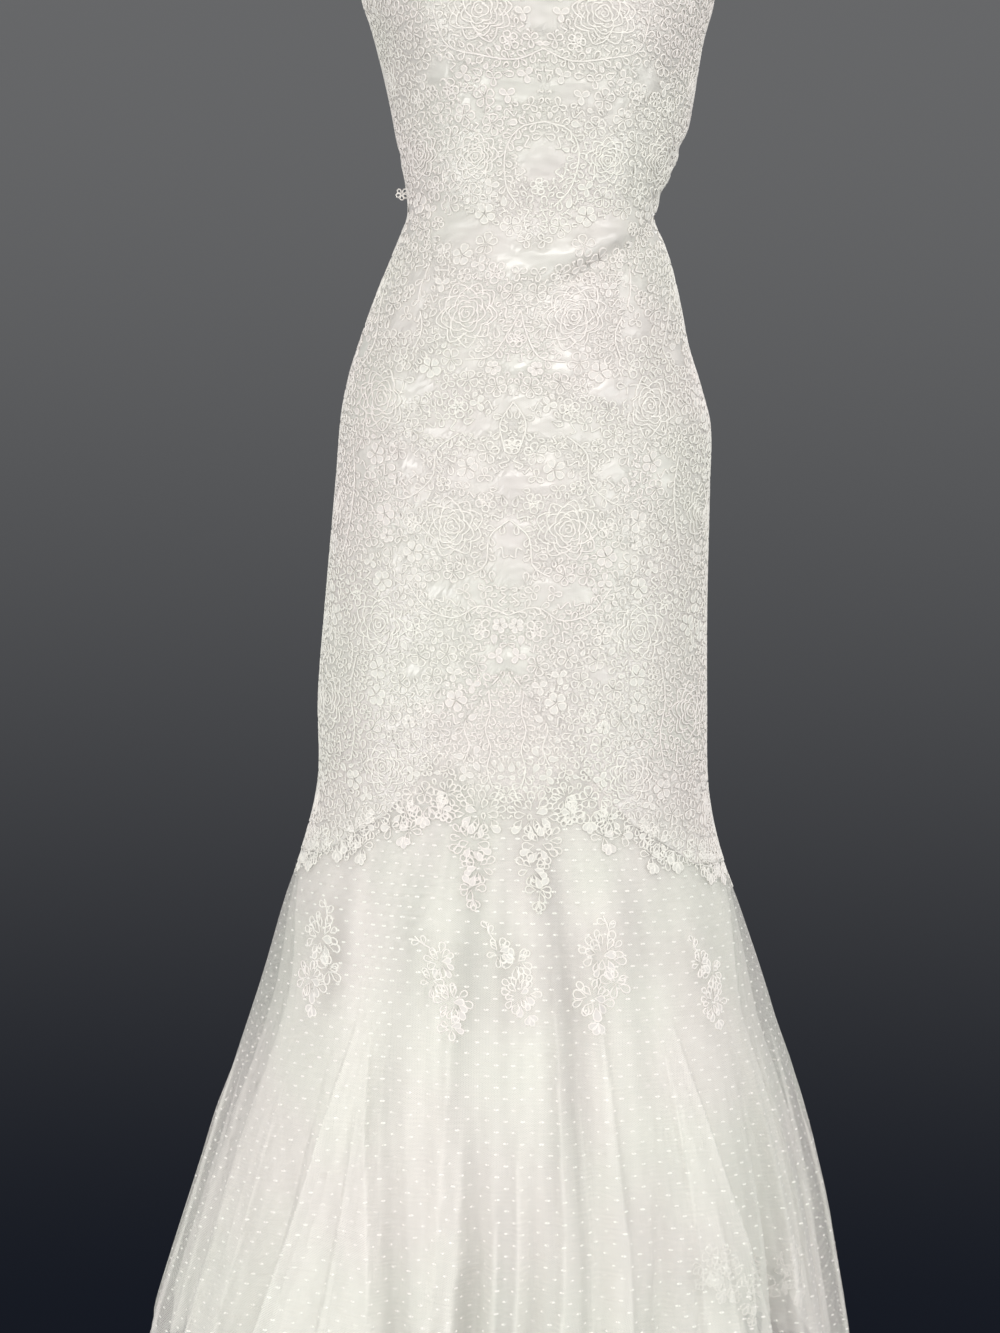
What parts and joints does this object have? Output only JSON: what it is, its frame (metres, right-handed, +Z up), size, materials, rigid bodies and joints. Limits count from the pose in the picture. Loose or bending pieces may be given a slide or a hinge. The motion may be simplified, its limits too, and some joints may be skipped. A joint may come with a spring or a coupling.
{
  "type": "strapless trumpet wedding dress",
  "caption": "Strapless trumpet wedding dress in corded lace with a sweetheart neckline and a dotted tulle skirt, held in its worn form with no wearer.",
  "frame": {"origin": "the wearer mount: the middle of the waist, where the gown grips its wearer, halfway between the side seams", "axes": "+Z up along the wearer, -Y out of the front of the gown, +X towards the wearer's left"},
  "size_m": [0.679, 0.641, 1.3568],
  "materials": {
    "lace": "ivory corded lace over pale satin",
    "applique": "ivory corded lace applique",
    "dotted_tulle": "soft ivory tulle with woven dots",
    "tulle": "soft ivory tulle",
    "satin": "pale satin with a soft gloss",
    "zip_metal": "ivory enamelled zip slider and pull tab"
  },
  "bodies": {
    "gown": {"panel_front": "lace", "panel_side_front_left": "lace", "panel_side_front_right": "lace", "panel_side_back_left": "lace", "panel_side_back_right": "lace", "panel_back_left": "lace", "panel_back_right": "lace", "neck_binding": "satin", "dotted_tulle_front": "dotted_tulle", "dotted_tulle_back": "dotted_tulle", "under_tulle_front": "tulle", "under_tulle_back": "tulle", "skirt_lining_front": "satin", "skirt_lining_back": "satin", "lace_edge_front_left": "applique", "lace_edge_front_right": "applique", "lace_edge_back_left": "applique", "lace_edge_back_right": "applique", "spray_front": "applique", "spray_front_left": "applique", "spray_front_right": "applique", "spray_side_left": "applique", "spray_side_right": "applique", "spray_side_back_left": "applique", "spray_side_back_right": "applique", "spray_back_left": "applique", "spray_back_right": "applique", "loose_leaf": "applique", "zip_slider": "zip_metal"},
    "pull_tab": {"zip_tab": "zip_metal"}
  },
  "joints": [
    {"name": "pull_tab_swing", "type": "hinge", "parent": "gown", "child": "pull_tab", "pos_m": [-0.00066, 0.09834, 0.1546], "axis": [1, 0, 0], "range_deg": [0, 150]}
  ]
}
